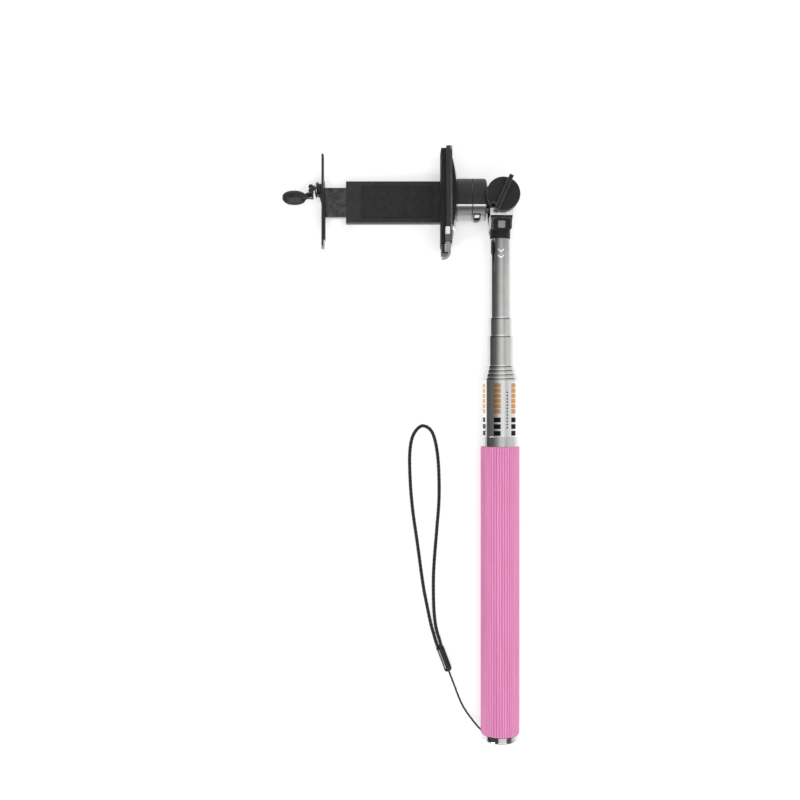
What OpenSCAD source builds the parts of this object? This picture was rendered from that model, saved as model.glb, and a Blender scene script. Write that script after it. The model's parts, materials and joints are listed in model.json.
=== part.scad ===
// Telescopic selfie stick with a tilting head, a phone clip and a wrist strap.
// It lies on a surface: the stick runs along Y, the clip points to -X and +Z is up.

/* [Tubes] */
// Outer radius of the widest tube
tube_r = 8.8; // [8.0:0.1:9.2]
// Wall of every tube
tube_wall = 0.3; // [0.25:0.05:0.35]
// How much smaller in radius each tube is than the one around it
tube_step = 0.583; // [0.55:0.001:0.6]
// Length of the six inner tubes
tube_len = 172; // [165:1:175]
// Length of the narrowed mouth on each tube
mouth_len = 2.3; // [2.0:0.1:3.0]
// Play between parts that slide or turn on each other
play = 0.05; // [0.03:0.01:0.08]

/* [Handle] */
// Outer radius of the grip over its ribs
grip_r = 9.75; // [9.5:0.05:10.5]
// Length of the grip sleeve
grip_len = 144.6; // [130:0.1:145]
// Number of ribs around the grip
grip_ribs = 44; // [36:2:50]
// Radius of the end cap
cap_r = 9.2; // [9.0:0.1:9.5]
// Length of the end cap
cap_len = 3.4; // [3.2:0.1:3.4]

/* [Head] */
// Distance from the butt to the tilt pivot
pivot_y = 272.25; // [270:0.25:275]
// Radius of the pivot bolt
bolt_r = 2.5; // [2.0:0.1:2.5]
// Radius of the tilt knob
knob_r = 8.3; // [8.0:0.1:8.5]
// Radius of the two barrels between the pivot and the clip
barrel_r = 10.7; // [10.5:0.1:10.7]
// Radius of the camera screw (1/4 inch)
screw_r = 3.175; // [3.175]

/* [Clip] */
// Gap between the two jaw pads
jaw_gap = 58.3; // [58:0.1:59]
// Half of the height of the fixed jaw
jaw_half = 24.25; // [23:0.25:24.25]
// Furthest reach of the fixed jaw towards the user
jaw_front = 16.6; // [14:0.2:17]
// Half of the width of the bridge behind the phone
bridge_half = 10.5; // [9.5:0.5:11]
// Tilt of the chrome cup under the lever
cup_tilt = 17.5; // [16:0.5:19]

/* [Hidden] */
$fn = 64;

// Where the row's origin lies in the stick's own coordinates: middle of the box, on the table
lever_tip_x = -110.25;
top_y = pivot_y + jaw_half;
origin_x = (lever_tip_x + grip_r) / 2;
origin_y = top_y / 2;
table_z = -barrel_r;

// Small amount that lets a cut run past a face
past = 1;

// Tubes: mouth of each tube, measured from the butt
mouths = [182.8, 184.8, 186.9, 188.9, 204.0, 213.1, 252.3];
tube_1_start = 3.5;
lip = 0.42;
mouth_round = 1.5;
mouth_step = 0.3;
bush_start = 1;
bush_len = 36;
steel = "#c4c5c8";
brass = "#b08d4a";

function radius_of(n) = tube_r - tube_step * (n - 1);
function mouth_of(n) = mouths[n - 1];
function start_of(n) = n == 1 ? tube_1_start : mouth_of(n) - tube_len;

// Handle
grip_root_r = grip_r - 0.3;
rib_r = 0.5;
plug_len = 8;
strap_pin_len = 5;
cap_edge = 1.2;
cap_recess_r = 7.6;
cap_floor = 1.2;

// Wrist strap
loop_d = 1.8;
tail_d = 1.0;
bead_r = 2.15;
bead_edge = 0.5;
bead_top = [-30.5, 45.6];
bead_end = [-25.5, 32.4];
strap_angle = 35;
strap_hole_y = 2.3;
strap_hole_r = tail_d / 2 + 0.2;
strap_pin_at = 5.2;
strap_pin_r = 0.8;

// Route of the loop: from the bead, round and back to the bead
loop_route = [
    [-31.4, 45.3, -8.6], [-32.4, 48.4, -8.8], [-33.4, 51.8, -9.4], [-34.6, 56, -9.8],
    [-37, 67.5, -9.8], [-38.8, 77.5, -9.8], [-41.6, 98, -9.8], [-44, 115, -9.8],
    [-45.3, 131, -9.8], [-45.4, 145, -9.8], [-43.6, 153.5, -9.8], [-39.4, 158, -9.8],
    [-34.8, 156, -9.8], [-32.2, 149.5, -9.8], [-30.7, 138, -9.8], [-30.4, 121, -9.8],
    [-31.6, 104.5, -9.8], [-33, 86.5, -9.8], [-33.3, 76, -9.8], [-33.1, 65, -9.8],
    [-32.4, 57, -9.8], [-31.4, 52, -9.4], [-30.4, 48.9, -8.8], [-29.6, 46, -8.6]
];
// Route of the tail: from the bead to the pin inside the end cap
tail_route = [
    [-25.5, 32.4, -8.6], [-24.4, 29.5, -9], [-23.3, 26.5, -9.7], [-22, 23, -10.1],
    [-20.5, 19, -10.1], [-18.5, 14.5, -10.1], [-16.1, 10.5, -10.1], [-13.4, 7, -9.5],
    [-11, 4.4, -8], [-9, 2.8, -6.4], [-7, 2.3, -4.9], [-4.9, 2.3, -3.45]
];
loop_ring_gap = 4.5;
tail_ring_gap = 2.6;

// Head
ear_in = 7.5;
ear_out = 9.0;
ear_half = 5.7;
ear_foot_half = 4.7;
ear_foot_y = 256.2;
ear_shoulder_y = 265.5;
window_half = 4.1;
window_top_y = 261.8;
window_corner = 1.5;
frame_half = 5.2;
frame_low_y = 257;
frame_top_y = 264.2;
socket_len = 4.6;
collar_low_y = 240;
collar_top_y = frame_low_y - 0.2;
collar_r = radius_of(7) - 0.15;
collar_face = ear_out - 0.8;
rivet_half = 1.75;
rivet_y = [256.9, 260.5];
rivet_corner = 0.6;
rivet_high = 0.4;
band_low_y = 263.1;
band_top_y = 266.6;
band_high = 0.5;
nut_r = 4.2;
bolt_end_z = 14;
washer_gap = 0.05;
block_r = 7.0;
block_half = 5.5;
knob_low = 11.1;
knob_top = 16.5;
knob_bar_top = 21;
knob_bar_half = 1.05;
knob_bar_reach = 9.1;
knob_turn = 24;
knob_neck_r = 5.2;
knob_gap = 0.2;
knob_notch = 2.0;
knob_notch_from = 5.5;
insert_r = 4.0;
shell_r = 9.3;
shell_edge_y = 4.0;
barrel_edge = 1.2;
head_barrel_x = [-14.2, -7.2];
clip_barrel_x = [-24.9, -14.5];
screw_end_x = -20.5;
insert_wall = 1.6;
flange_r = barrel_r + 0.6;
flange_y = -6;
slot_x = [-13.9, -10.3];
slot_z = [-1.5, 7.2];
slot_in_y = -8.0;
slot_out_y = -11.3;
slot_corner = 1.2;
liner_t = 0.6;

// Clip
pad_t = 2.4;
plate_t = 2.0;
backbone_t = 0.8;
fixed_pad_x = -30.1;
fixed_plate_x = fixed_pad_x + pad_t;
backbone_x = fixed_plate_x + plate_t;
dome_x = backbone_x + backbone_t;
dome_apex_x = -21.0;
dome_half = 23.8;
dome_tip = 18.6;
dome_band = [-17.3, -15.7];
dome_margin = [0.6, 0.8];
root_x = dome_apex_x - 0.9;
insert_x = clip_barrel_x[0] + 2;
seam_edge = 0.3;
jaw_corner = 3;
backbone_corner = 2.5;
dome_rise = dome_apex_x - dome_x;
dome_sphere_r = (dome_half * dome_half + dome_rise * dome_rise) / (2 * dome_rise);
back_z = -10.2;
fixed_pad_top = 10.5;
pad_inset = 0.1;
pad_corner = 1.2;
catch_x = [-28.2, -26.0];
catch_low_z = 12.6;
catch_tab_y = [252.0, 256.0];
catch_body_y = 247.6;
catch_slope_y = 250.2;
catch_drop = 0.6;
foot_low_y = 243.6;
foot_x = [-29.9, -26.2];
foot_z = [0, 12.4];
catch_coil_r = 1.7;
catch_coil_z = jaw_front - 1.3;
catch_coil_turns = 3;
catch_coil_pitch = 1.15;
hook_x = -30.2;
hook_rise = 0.2;
hook_r = 4.0;
hook_wire_r = 0.7;
bridge_z = -4.2;
bridge_end_x = -78;
cavity_half = 7.8;
cavity_low = -9.2;
cavity_top = -5.3;
cavity_x = -30.2;
cover_half = 9.2;
rail_half = 7.5;
rail_z = [-8.9, -5.6];
slot_half = 2.0;
slot_start_x = -60;
rail_end_x = -34;
spring_r = 1.5;
spring_hole_r = 0.9;
spring_z = (rail_z[0] + rail_z[1]) / 2;
spring_x = [-58.2, -32.2];
spring_turns = 26;
post_r = 0.7;
post_gap = 0.9;
cover_lap = 1.2;
screw_inset = 4;
cover_screw_r = 0.6;
back_pad_x = [-70, -34];
back_pad_half = 8;
back_pad_t = 0.8;
spring_groove = 0.35;
sliding_pad_x = fixed_pad_x - jaw_gap;
sliding_pad_t = 0.7;
sliding_plate_t = 0.9;
sliding_plate_x = sliding_pad_x - sliding_pad_t;
sliding_outer_x = sliding_plate_x - sliding_plate_t;
sliding_half = 23.35;
sliding_front = 2.5;
sliding_foot = 11;
grab_y = [-20.2, -4.5];
jaw_hook_r = 0.9;
jaw_hook_len = 3.1;

// Lever
lever_z = -2.5;
cup_apex = [-93.25, 274.1];
cup_sphere_r = 12;
cup_rim_r = 7.2;
cup_t = 0.9;
boss_r = 4.45;
boss_y = 276.7;
pin_x = -95.3;
pin_y = 278.7;
pin_r = 0.6;
pin_reach = 2.8;
lug_r = 1.3;
lug_half = 0.9;
fork_in = 1.2;
fork_out = 2.4;
hub_r = 1.3;
knuckle = [-95.4, 276.7];
knuckle_r = 1.25;
neck_x = [-98.6, -94.4];
neck_y = [273.3, 276.7];
paddle_len = 12.3;
paddle_w = 7.3;
paddle_half_t = 1.6;
paddle_y = 274.0;

// Moves the stick's own coordinates to the row's origin
module placed() {
    translate([-origin_x, -origin_y, -table_z]) children();
}

// A box from its two corners
module span(a, b) {
    translate(a) cube(b - a);
}

// Turns a profile of [radius, y] points about the stick's axis
module turned_y() {
    rotate([-90, 0, 0]) rotate_extrude($fn = 96) children();
}

// Turns a profile of [radius, x] points about the arm's axis
module turned_x() {
    translate([0, pivot_y, 0]) rotate([0, 90, 0]) rotate_extrude($fn = 96) children();
}

// A round bar along Z
module post_z(x, y, r, low, high) {
    translate([x, y, low]) cylinder(h = high - low, r = r);
}

// A round bar along X at the arm's height
module bar_x(r, low, high) {
    translate([low, pivot_y, 0]) rotate([0, 90, 0]) cylinder(h = high - low, r = r);
}

// One tube, whose mouth is rolled in round the next tube
module tube(n) {
    r = radius_of(n);
    top = mouth_of(n);
    start = start_of(n);
    throat = radius_of(n + 1) + play;
    color(steel) placed() turned_y() polygon(concat(
        [[r, start]],
        [for (a = [0:15:90]) [r - lip + lip * cos(a), top - mouth_round + mouth_round * sin(a)]],
        [[throat, top], [throat, top - mouth_len], [r - tube_wall, top - mouth_len - mouth_step],
            [r - tube_wall, start]]
    ));
}

// The innermost tube is plain
module last_tube() {
    r = radius_of(7);
    color(steel) placed() turned_y()
        translate([r - tube_wall, start_of(7)]) square([tube_wall, tube_len]);
}

// Thin sleeve on the lower end of an inner tube that guides it in the one around it
module bush(n) {
    r = radius_of(n);
    outer = radius_of(n - 1) - tube_wall - play;
    color(brass) placed() turned_y()
        translate([r, start_of(n) + bush_start]) square([outer - r, bush_len]);
}

module grip_sleeve() {
    color("#ee82be") placed() translate([0, tube_1_start, 0]) rotate([-90, 0, 0])
        linear_extrude(grip_len) difference() {
            union() {
                circle(r = grip_root_r, $fn = 96);
                for (i = [0:grip_ribs - 1])
                    rotate(i * 360 / grip_ribs) translate([grip_r - rib_r, 0]) circle(r = rib_r, $fn = 16);
            }
            circle(r = tube_r, $fn = 96);
        }
}

module base_plug() {
    color("#202022") placed() difference() {
        turned_y() translate([0, cap_len]) square([tube_r - tube_wall, plug_len]);
        strap_pin_shape();
    }
}

module end_cap() {
    color("#c8c8cc") placed() difference() {
        turned_y() polygon(concat(
            [[0, 0]],
            [for (a = [0:15:90]) [cap_r - cap_edge + cap_edge * sin(a), cap_edge - cap_edge * cos(a)]],
            [[cap_r, cap_len], [cap_recess_r, cap_len], [cap_recess_r, cap_floor], [0, cap_floor]]
        ));
        translate([0, strap_hole_y, 0]) rotate([0, 180 - strap_angle, 0]) rotate([0, 90, 0])
            translate([0, 0, strap_pin_at]) cylinder(h = cap_r, r = strap_hole_r, $fn = 32);
    }
}

module strap_pin_shape() {
    rotate([0, 180 - strap_angle, 0]) translate([strap_pin_at, cap_floor, 0])
        rotate([-90, 0, 0]) cylinder(h = strap_pin_len, r = strap_pin_r, $fn = 32);
}

module strap_pin() {
    color("#b0b0b4") placed() strap_pin_shape();
}

// Catmull-Rom curve through a route
function curve_at(p, i, t) =
    let (
        n = len(p),
        a = p[max(i - 1, 0)],
        b = p[i],
        c = p[i + 1],
        d = p[min(i + 2, n - 1)]
    )
    0.5 * (2 * b + (c - a) * t + (2 * a - 5 * b + 4 * c - d) * t * t
        + (3 * b - a - 3 * c + d) * t * t * t);

function curve_points(p, gap) = concat(
    [for (i = [0:len(p) - 2])
        let (steps = max(1, round(norm(p[i + 1] - p[i]) / gap)))
        for (k = [0:steps - 1]) curve_at(p, i, k / steps)],
    [p[len(p) - 1]]
);

function unit(v) = v / norm(v);

// A plain tube of eight sides swept along a route
module cord(route, d, gap) {
    path = curve_points(route, gap);
    count = len(path);
    sides = 8;
    points = [for (i = [0:count - 1])
        let (
            along = unit(path[min(i + 1, count - 1)] - path[max(i - 1, 0)]),
            side = unit(cross(along, [0, 0, 1])),
            up = cross(side, along)
        )
        for (k = [0:sides - 1])
            path[i] + d / 2 * (cos(k * 360 / sides) * side + sin(k * 360 / sides) * up)];
    walls = [for (i = [0:count - 2]) for (k = [0:sides - 1])
        [i * sides + k, i * sides + (k + 1) % sides,
            (i + 1) * sides + (k + 1) % sides, (i + 1) * sides + k]];
    start_face = [for (k = [sides - 1:-1:0]) k];
    end_face = [for (k = [0:sides - 1]) (count - 1) * sides + k];
    polyhedron(points, concat(walls, [start_face, end_face]));
}

module strap_loop() {
    color("#161617") placed() cord(loop_route, loop_d, loop_ring_gap);
}

module strap_tail() {
    color("#1c1c1d") placed() cord(tail_route, tail_d, tail_ring_gap);
}

module strap_bead() {
    length = norm(bead_end - bead_top);
    turn = atan2(bead_end[1] - bead_top[1], bead_end[0] - bead_top[0]);
    color("#0c0c0d") placed() translate([bead_top[0], bead_top[1], table_z + bead_r])
        rotate([0, 0, turn]) rotate([0, 90, 0]) rotate_extrude() polygon([
            [0, 0], [bead_r - bead_edge, 0], [bead_r, bead_edge], [bead_r, length - bead_edge],
            [bead_r - bead_edge, length], [0, length]
        ]);
}

// A flat rectangle with rounded corners
module rounded(x0, y0, x1, y1, corner) {
    translate([x0, y0 + corner]) square([x1 - x0, y1 - y0 - 2 * corner]);
    translate([x0 + corner, y0]) square([x1 - x0 - 2 * corner, y1 - y0]);
    for (x = [x0 + corner, x1 - corner]) for (y = [y0 + corner, y1 - corner])
        translate([x, y]) circle(r = corner, $fn = 32);
}

// Outline of the window in the clevis, which the collar fills
module window_outline(low_y) {
    rounded(-window_half, low_y, window_half, window_top_y, window_corner);
    translate([-window_half, low_y]) square([2 * window_half, window_corner]);
}

module neck_collar() {
    color("#1a1a1b") placed() {
        turned_y() polygon([
            [0, collar_low_y], [radius_of(7) - tube_wall, collar_low_y],
            [radius_of(7) - tube_wall, mouth_of(7)], [collar_r, mouth_of(7)],
            [collar_r, collar_top_y], [0, collar_top_y]
        ]);
        translate([0, 0, -collar_face]) linear_extrude(2 * collar_face)
            window_outline(mouth_of(7) + socket_len - 0.7);
    }
}

module neck_rivet() {
    color("#b8b8ba") placed() translate([0, 0, collar_face]) linear_extrude(rivet_high)
        rounded(-rivet_half, rivet_y[0], rivet_half, rivet_y[1], rivet_corner);
}

module ear_outline() {
    polygon([
        [-ear_foot_half, ear_foot_y], [ear_foot_half, ear_foot_y], [ear_half, ear_shoulder_y],
        [ear_half, pivot_y], [-ear_half, pivot_y], [-ear_half, ear_shoulder_y]
    ]);
    translate([0, pivot_y]) circle(r = ear_half);
}

module clevis() {
    color("#b4b5b8") placed() difference() {
        union() {
            for (low = [ear_in, -ear_out]) translate([0, 0, low])
                linear_extrude(ear_out - ear_in) ear_outline();
            span([-frame_half, frame_low_y, -ear_in], [frame_half, frame_top_y, ear_in]);
            span([-ear_half, band_low_y, ear_out], [ear_half, band_top_y, ear_out + band_high]);
        }
        translate([0, 0, -ear_out - past]) linear_extrude(2 * (ear_out + past))
            window_outline(ear_foot_y - past);
        translate([0, mouth_of(7), 0]) rotate([-90, 0, 0])
            cylinder(h = socket_len, r = radius_of(7));
        post_z(0, pivot_y, bolt_r, -ear_out - past, ear_out + past);
    }
}

module pivot_bolt() {
    color("#9a9a9e") placed() post_z(0, pivot_y, bolt_r, table_z + 0.5, bolt_end_z);
}

module pivot_nut() {
    color("#a8a8ac") placed() difference() {
        post_z(0, pivot_y, nut_r, table_z + 0.3, -ear_out);
        post_z(0, pivot_y, bolt_r, table_z, -ear_out + past);
    }
}

module pivot_washers() {
    thick = ear_in - block_r - 2 * washer_gap;
    color("#8c8c90") placed() for (low = [block_r + washer_gap, -ear_in + washer_gap])
        difference() {
            post_z(0, pivot_y, ear_half - 0.4, low, low + thick);
            post_z(0, pivot_y, bolt_r + play, low - past, low + thick + past);
        }
}

module tilt_knob() {
    color("#1d1d1f") placed() translate([0, pivot_y, 0]) difference() {
        union() {
            translate([0, 0, knob_low]) cylinder(h = knob_top - knob_low, r = knob_r);
            translate([0, 0, ear_out + band_high + knob_gap])
                cylinder(h = knob_low - ear_out - band_high, r = knob_neck_r);
            rotate([0, 0, -knob_turn]) span([-knob_bar_half, -knob_bar_reach, knob_low + 1],
                [knob_bar_half, knob_bar_reach, knob_bar_top]);
        }
        cylinder(h = knob_top - 1, r = insert_r);
        rotate([0, 0, -knob_turn]) span([-knob_bar_half - knob_notch, -knob_r - past, 0],
            [-knob_bar_half, -knob_notch_from, knob_top + past]);
    }
}

module knob_insert() {
    color(brass) placed() difference() {
        post_z(0, pivot_y, insert_r, ear_out + band_high + 1.5 * knob_gap, knob_top - 1);
        post_z(0, pivot_y, bolt_r + play, 0, bolt_end_z + knob_gap);
    }
}

// Black knuckle that tilts between the clevis ears
module tilt_block() {
    color("#1b1b1c") placed() difference() {
        union() {
            post_z(0, pivot_y, block_r, -block_r, block_r);
            span([head_barrel_x[1], pivot_y - block_half, -block_r],
                [0, pivot_y + block_half, block_r]);
        }
        post_z(0, pivot_y, bolt_r + play, -block_r - past, block_r + past);
    }
}

// Barrel along the arm with one rounded edge
module barrel_solid(x0, x1, edge) {
    turned_x() polygon(concat(
        [[0, x0], [barrel_r, x0]],
        [for (a = [0:15:90]) [barrel_r - edge + edge * cos(a), x1 - edge + edge * sin(a)]],
        [[0, x1]]
    ));
}

// Space that the black cover takes on a barrel
module shell_space(x0, x1) {
    difference() {
        span([x0 - past, pivot_y - shell_edge_y, -barrel_r - past],
            [x1 + past, pivot_y + barrel_r + past, barrel_r + past]);
        bar_x(shell_r, x0 - 2 * past, x1 + 2 * past);
    }
}

// Place of the small U-shaped window low on the barrel, smaller all round by a wall
module slot_space(wall, top) {
    x = [slot_x[0] + wall, slot_x[1] - wall];
    y = [pivot_y + slot_out_y + wall, pivot_y + slot_in_y - wall];
    translate([0, 0, slot_z[0] + wall]) linear_extrude(top - slot_z[0] - wall) {
        rounded(x[0], y[0], x[1], y[1], slot_corner - wall);
        translate([x[0], y[0] + slot_corner]) square([x[1] - x[0], y[1] - y[0] - slot_corner]);
    }
}

module head_barrel() {
    color("#a6a6a8") placed() difference() {
        barrel_solid(head_barrel_x[0], head_barrel_x[1], barrel_edge);
        shell_space(head_barrel_x[0], head_barrel_x[1]);
        bar_x(screw_r, head_barrel_x[0] - past, head_barrel_x[1] - 1);
        slot_space(0, slot_z[1]);
    }
}

module head_shell() {
    color("#27272a") placed() intersection() {
        barrel_solid(head_barrel_x[0], head_barrel_x[1], barrel_edge);
        shell_space(head_barrel_x[0], head_barrel_x[1]);
    }
}

module camera_screw() {
    color("#b6b6ba") placed() bar_x(screw_r, screw_end_x, head_barrel_x[1] - 1);
}

module slot_liner() {
    color("#111112") placed() difference() {
        intersection() {
            slot_space(0, slot_z[1]);
            bar_x(flange_r, head_barrel_x[0], head_barrel_x[1]);
        }
        slot_space(liner_t, slot_z[1] + past);
    }
}

module set_screw() {
    color("#d8d8da") placed() intersection() {
        slot_space(liner_t, slot_z[1]);
        bar_x(barrel_r - 0.1, head_barrel_x[0], head_barrel_x[1]);
    }
}

module clip_barrel() {
    color("#a6a6a8") placed() difference() {
        union() {
            barrel_solid(clip_barrel_x[0], clip_barrel_x[1], seam_edge);
            intersection() {
                bar_x(flange_r, root_x, root_x + 1);
                span([root_x, pivot_y - flange_r, -flange_r],
                    [root_x + 1, pivot_y + flange_y, flange_r]);
            }
        }
        shell_space(root_x, clip_barrel_x[1]);
        bar_x(screw_r + insert_wall, insert_x, clip_barrel_x[1] + past);
    }
}

module clip_shell() {
    color("#27272a") placed() intersection() {
        barrel_solid(root_x, clip_barrel_x[1], seam_edge);
        shell_space(root_x, clip_barrel_x[1]);
    }
}

module thread_insert() {
    color(brass) placed() difference() {
        bar_x(screw_r + insert_wall, insert_x, clip_barrel_x[1]);
        bar_x(screw_r + play, clip_barrel_x[0], clip_barrel_x[1] + past);
    }
}

// Upright plate with rounded corners, seen along X
module jaw_plate(x0, x1, half, low, high, corner) {
    translate([x0, pivot_y, 0]) rotate([90, 0, 90]) linear_extrude(x1 - x0)
        rounded(-half, low, half, high, corner);
}

module fixed_jaw() {
    color("#222224") placed() difference() {
        union() {
            jaw_plate(fixed_plate_x, backbone_x, jaw_half, back_z, jaw_front, jaw_corner);
            span([foot_x[0], foot_low_y, foot_z[0]], [foot_x[1], pivot_y - jaw_half, foot_z[1]]);
            span([fixed_plate_x, foot_low_y, foot_z[0]], [foot_x[1], catch_slope_y, foot_z[1]]);
        }
        span([catch_x[0], catch_body_y - past, catch_low_z],
            [catch_x[1], catch_tab_y[1], jaw_front + past]);
    }
}

// Domed space behind the jaw
module dome_space() {
    difference() {
        intersection() {
            translate([dome_apex_x - dome_sphere_r, pivot_y, 0]) sphere(r = dome_sphere_r, $fn = 400);
            jaw_plate(dome_x, dome_apex_x + past, dome_half, back_z + dome_margin[0],
                jaw_front - dome_margin[1], jaw_corner + 1);
        }
        bar_x(barrel_r, dome_x - past, 0);
    }
}

// The parts of the dome that are chrome: its upper tip and a narrow band near its lower end
module dome_chrome() {
    span([dome_x - past, pivot_y + dome_tip, back_z - past],
        [0, pivot_y + dome_half + past, jaw_front + past]);
    span([dome_x - past, pivot_y + dome_band[0], back_z - past],
        [0, pivot_y + dome_band[1], jaw_front + past]);
}

// Black dome in two solids, above and below the chrome band
module jaw_dome() {
    color("#1a1a1b") placed() difference() {
        dome_space();
        dome_chrome();
    }
}

// Chrome steel plate between jaw and dome, with the chrome parts of the dome
module jaw_backbone() {
    color("#c9cacc") placed() {
        jaw_plate(backbone_x, dome_x, jaw_half, back_z, jaw_front - 0.2, backbone_corner);
        intersection() {
            dome_space();
            dome_chrome();
        }
    }
}

// Sprung catch in the front edge of the fixed jaw: a tab, a small coil and a bent wire hook
module jaw_catch() {
    mid_x = (catch_x[0] + catch_x[1]) / 2;
    coil_y = catch_body_y - catch_coil_turns * catch_coil_pitch;
    color("#cfd0d2") placed() {
        translate([catch_x[0], 0, 0]) rotate([90, 0, 90]) linear_extrude(catch_x[1] - catch_x[0])
            polygon([
                [catch_body_y, catch_low_z], [catch_tab_y[1], catch_low_z], [catch_tab_y[1], jaw_front],
                [catch_tab_y[0], jaw_front], [catch_slope_y, jaw_front - catch_drop],
                [catch_body_y, jaw_front - catch_drop]
            ]);
        translate([mid_x, 0, jaw_front]) rotate([-90, 0, 0]) translate([0, 0, catch_tab_y[0]])
            cylinder(h = catch_tab_y[1] - catch_tab_y[0], r = (catch_x[1] - catch_x[0]) / 2);
        translate([mid_x, coil_y, catch_coil_z]) rotate([-90, 0, 0]) rotate_extrude() polygon(concat(
            [[0, 0]],
            [for (i = [0:catch_coil_turns - 1]) for (half = [0, 1])
                [catch_coil_r - half * spring_groove, (i + half / 2) * catch_coil_pitch]],
            [[catch_coil_r, catch_coil_turns * catch_coil_pitch],
                [0, catch_coil_turns * catch_coil_pitch]]
        ));
        translate([hook_x, coil_y + hook_rise, catch_coil_z]) rotate([0, 0, -90])
            rotate_extrude(angle = 90) translate([hook_r, 0]) circle(r = hook_wire_r, $fn = 32);
    }
}

module fixed_pad() {
    color("#2c2c2e") placed() jaw_plate(fixed_pad_x, fixed_plate_x, jaw_half - pad_inset,
        bridge_z, fixed_pad_top, pad_corner);
}

module slide_housing() {
    color("#1e1e20") placed() difference() {
        span([bridge_end_x, pivot_y - bridge_half, back_z],
            [fixed_plate_x, pivot_y + bridge_half, bridge_z]);
        span([bridge_end_x - past, pivot_y - cavity_half, back_z - past],
            [cavity_x, pivot_y + cavity_half, cavity_top]);
        span([bridge_end_x - past, pivot_y - cover_half, back_z - past],
            [cavity_x + cover_lap, pivot_y + cover_half, cavity_low]);
    }
}

// Places of the four screws in the back cover
module cover_corners() {
    for (x = [bridge_end_x + screw_inset, cavity_x - screw_inset]) for (side = [-1, 1])
        translate([x, pivot_y + side * (cavity_half + cover_half) / 2, 0]) children();
}

module back_cover() {
    color("#19191a") placed() difference() {
        span([bridge_end_x, pivot_y - cover_half, back_z],
            [cavity_x + cover_lap, pivot_y + cover_half, cavity_low]);
        cover_corners() translate([0, 0, back_z - past])
            cylinder(h = 4 * past, r = cover_screw_r, $fn = 24);
    }
}

module cover_screws() {
    color("#9c9ca0") placed() cover_corners()
        translate([0, 0, back_z + 0.1])
            cylinder(h = cavity_low - back_z - 0.1, r = cover_screw_r, $fn = 24);
}

module back_pad() {
    color("#2b2b2d") placed() span([back_pad_x[0], pivot_y - back_pad_half, bridge_z],
        [back_pad_x[1], pivot_y + back_pad_half, bridge_z + back_pad_t]);
}

module spring_post() {
    color("#9c9ca0") placed() post_z(spring_x[1] + post_gap, pivot_y, post_r, cavity_low, cavity_top);
}

module rail_post() {
    color("#9c9ca0") placed() post_z(spring_x[0] - post_gap, pivot_y, post_r, rail_z[0], rail_z[1]);
}

// Tension spring, drawn as a sleeve with a groove between its turns
module clip_spring() {
    pitch = (spring_x[1] - spring_x[0]) / spring_turns;
    ridge = [for (i = [0:spring_turns - 1]) for (half = [0, 1])
        [spring_r - spring_groove * half, spring_x[0] + pitch * (i + half / 2)]];
    color("#a4a4a8") placed() translate([0, 0, spring_z]) turned_x() polygon(concat(
        [[spring_hole_r, spring_x[0]]], ridge, [[spring_r, spring_x[1]], [spring_hole_r, spring_x[1]]]
    ));
}

// The far jaw: a thin plate, and a deeper foot where the rail joins it
module sliding_jaw() {
    color("#222224") placed() {
        jaw_plate(sliding_outer_x, sliding_plate_x, sliding_half, bridge_z, sliding_front, 1.5);
        jaw_plate(sliding_outer_x, sliding_plate_x, sliding_foot, back_z, sliding_front - past, 1.5);
    }
}

module sliding_pad() {
    color("#2c2c2e") placed() span([sliding_plate_x, pivot_y + grab_y[0], bridge_z],
        [sliding_pad_x, pivot_y + grab_y[1], sliding_front - 0.2]);
}

module slide_rail() {
    color("#b4b5b8") placed() difference() {
        span([sliding_plate_x, pivot_y - rail_half, rail_z[0]],
            [rail_end_x, pivot_y + rail_half, rail_z[1]]);
        span([slot_start_x, pivot_y - slot_half, rail_z[0] - past],
            [rail_end_x + past, pivot_y + slot_half, rail_z[1] + past]);
    }
}

module jaw_hook() {
    color("#d0d0d3") placed() {
        span([sliding_plate_x, pivot_y - sliding_half - jaw_hook_r, bridge_z],
            [sliding_pad_x, pivot_y - sliding_half + jaw_hook_len, sliding_front - 0.1]);
        post_z(sliding_plate_x - 0.2, pivot_y - sliding_half - jaw_hook_r, jaw_hook_r,
            bridge_z, sliding_front - 0.1);
    }
}

// Puts children at the middle of the cup's sphere, with Z pointing out through the cup
module on_cup() {
    translate([cup_apex[0], cup_apex[1], lever_z]) rotate([0, 0, cup_tilt]) rotate([0, -90, 0])
        translate([0, 0, -cup_sphere_r]) children();
}

// Black block that carries the cup on the outside of the far jaw
module clamp_boss() {
    color("#1a1a1b") placed() intersection() {
        translate([sliding_outer_x - cup_rim_r, boss_y, lever_z]) rotate([0, 90, 0])
            cylinder(h = cup_rim_r, r = boss_r);
        on_cup() sphere(r = cup_sphere_r - cup_t, $fn = 128);
    }
}

// Outline of the cup's lug, seen along Z
module lug_outline() {
    translate([pin_x, pin_y]) circle(r = lug_r, $fn = 48);
    polygon([
        [pin_x, pin_y - lug_r], [cup_apex[0], pin_y - lug_r],
        [cup_apex[0], pin_y + lug_r], [pin_x, pin_y + lug_r]
    ]);
}

// Shallow chrome dome with a lug that the lever turns on
module cam_cup() {
    color("#d2d3d6") placed() difference() {
        union() {
            intersection() {
                on_cup() sphere(r = cup_sphere_r, $fn = 128);
                on_cup() cylinder(h = cup_sphere_r + past, r = cup_rim_r);
            }
            translate([0, 0, lever_z - lug_half]) linear_extrude(2 * lug_half) lug_outline();
        }
        on_cup() sphere(r = cup_sphere_r - cup_t, $fn = 128);
        span([sliding_outer_x, boss_y - 2 * cup_rim_r, -2 * cup_rim_r],
            [sliding_outer_x + cup_sphere_r, boss_y + cup_rim_r, 2 * cup_rim_r]);
        post_z(pin_x, pin_y, pin_r, lever_z - past - lug_half, lever_z + past + lug_half);
    }
}

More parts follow.
